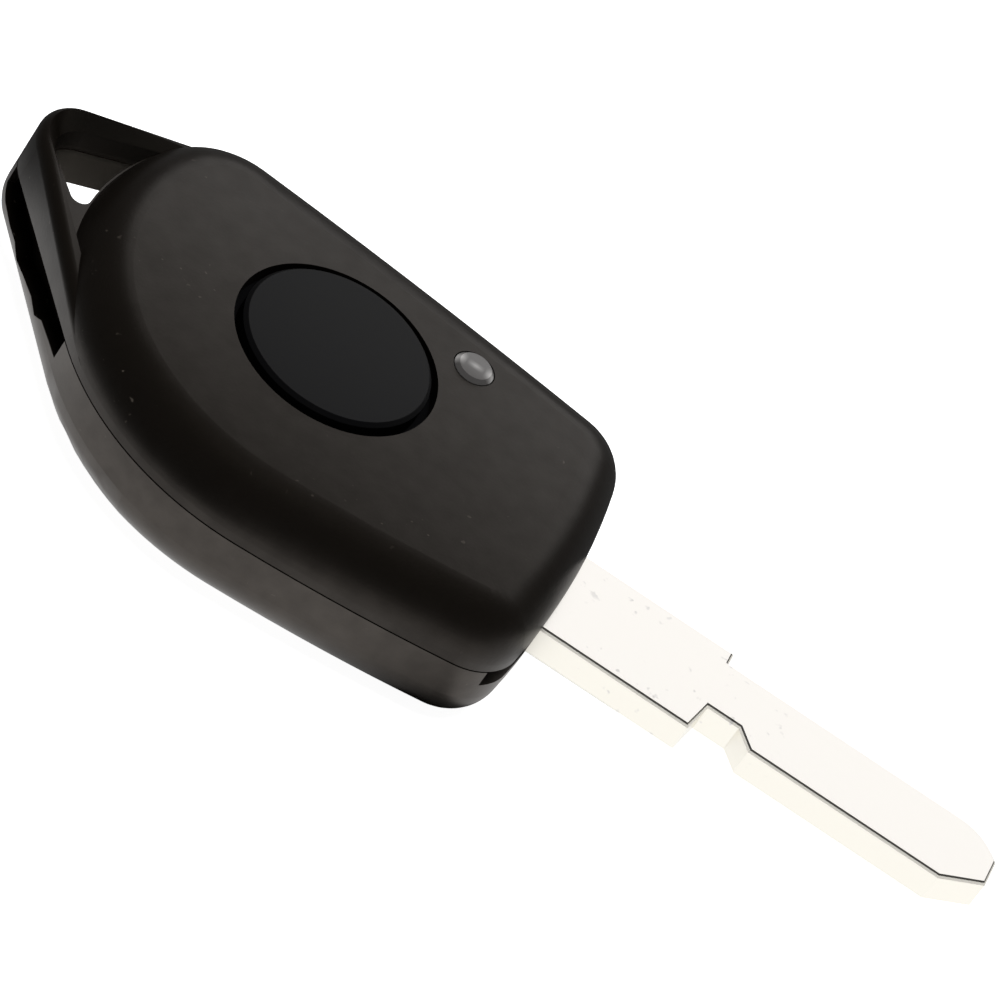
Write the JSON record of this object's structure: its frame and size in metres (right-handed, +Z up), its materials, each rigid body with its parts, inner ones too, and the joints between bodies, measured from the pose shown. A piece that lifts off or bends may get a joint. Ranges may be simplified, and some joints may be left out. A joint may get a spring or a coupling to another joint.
{
  "type": "car remote key",
  "caption": "Car remote key: rounded two-part fob with one round push button, indicator lens, broken-edged key-ring loop and a fixed flat metal blade with a stepped shoulder.",
  "frame": {"origin": "on the flat underside of the case, on the axis of the push button", "axes": "+X along the blade to its tip, +Y towards the side of the case with the key-ring loop, +Z up through the push button"},
  "size_m": [0.1046, 0.0408, 0.0137],
  "materials": {
    "case_plastic": "dark charcoal, finely textured, slightly worn",
    "button_rubber": "smooth matte black",
    "clear_lens": "clear moulded lens",
    "blade_steel": "bare bright metal",
    "board_green": "green solder resist",
    "cell_steel": "plain steel can",
    "contact_metal": "thin plated strip",
    "black_moulding": "black moulding compound",
    "lamp_clear": "red tinted lamp body",
    "ferrite": "dark grey ferrite",
    "copper_wire": "enamelled wire",
    "ceramic_tan": "tan ceramic"
  },
  "bodies": {
    "case": {"upper_shell": "case_plastic", "lower_shell": "case_plastic", "led_lens": "clear_lens", "key_blade": "blade_steel", "blade_pin": "blade_steel", "circuit_board": "board_green", "coin_cell": "cell_steel", "battery_clip": "contact_metal", "battery_contact": "contact_metal", "switch_base": "black_moulding", "switch_cover": "contact_metal", "switch_dome": "contact_metal", "switch_terminal_1": "contact_metal", "switch_terminal_2": "contact_metal", "indicator_led": "lamp_clear", "microcontroller": "black_moulding", "crystal": "cell_steel", "resonator": "black_moulding", "transistor": "black_moulding", "inductor_core": "ferrite", "inductor_winding": "copper_wire", "transponder_chip": "black_moulding", "capacitor_1": "ceramic_tan", "capacitor_2": "ceramic_tan", "capacitor_3": "ceramic_tan", "capacitor_4": "ceramic_tan", "resistor_1": "black_moulding", "resistor_2": "black_moulding", "resistor_3": "black_moulding", "resistor_4": "black_moulding"},
    "button": {"button": "button_rubber"},
    "plunger": {"switch_plunger": "black_moulding"}
  },
  "joints": [
    {"name": "button_press", "type": "slide", "parent": "case", "child": "button", "axis": [0, 0, -1], "range_m": [0, 0.0004], "stiffness_N_per_m": 900, "springref_m": -0.0003},
    {"name": "switch_press", "type": "slide", "parent": "case", "child": "plunger", "axis": [0, 0, -1], "range_m": [0, 0.00025], "deforming": ["switch_dome"]}
  ],
  "couplings": [
    {"joint": "switch_press", "follows": "button_press", "ratio": 0.625}
  ]
}
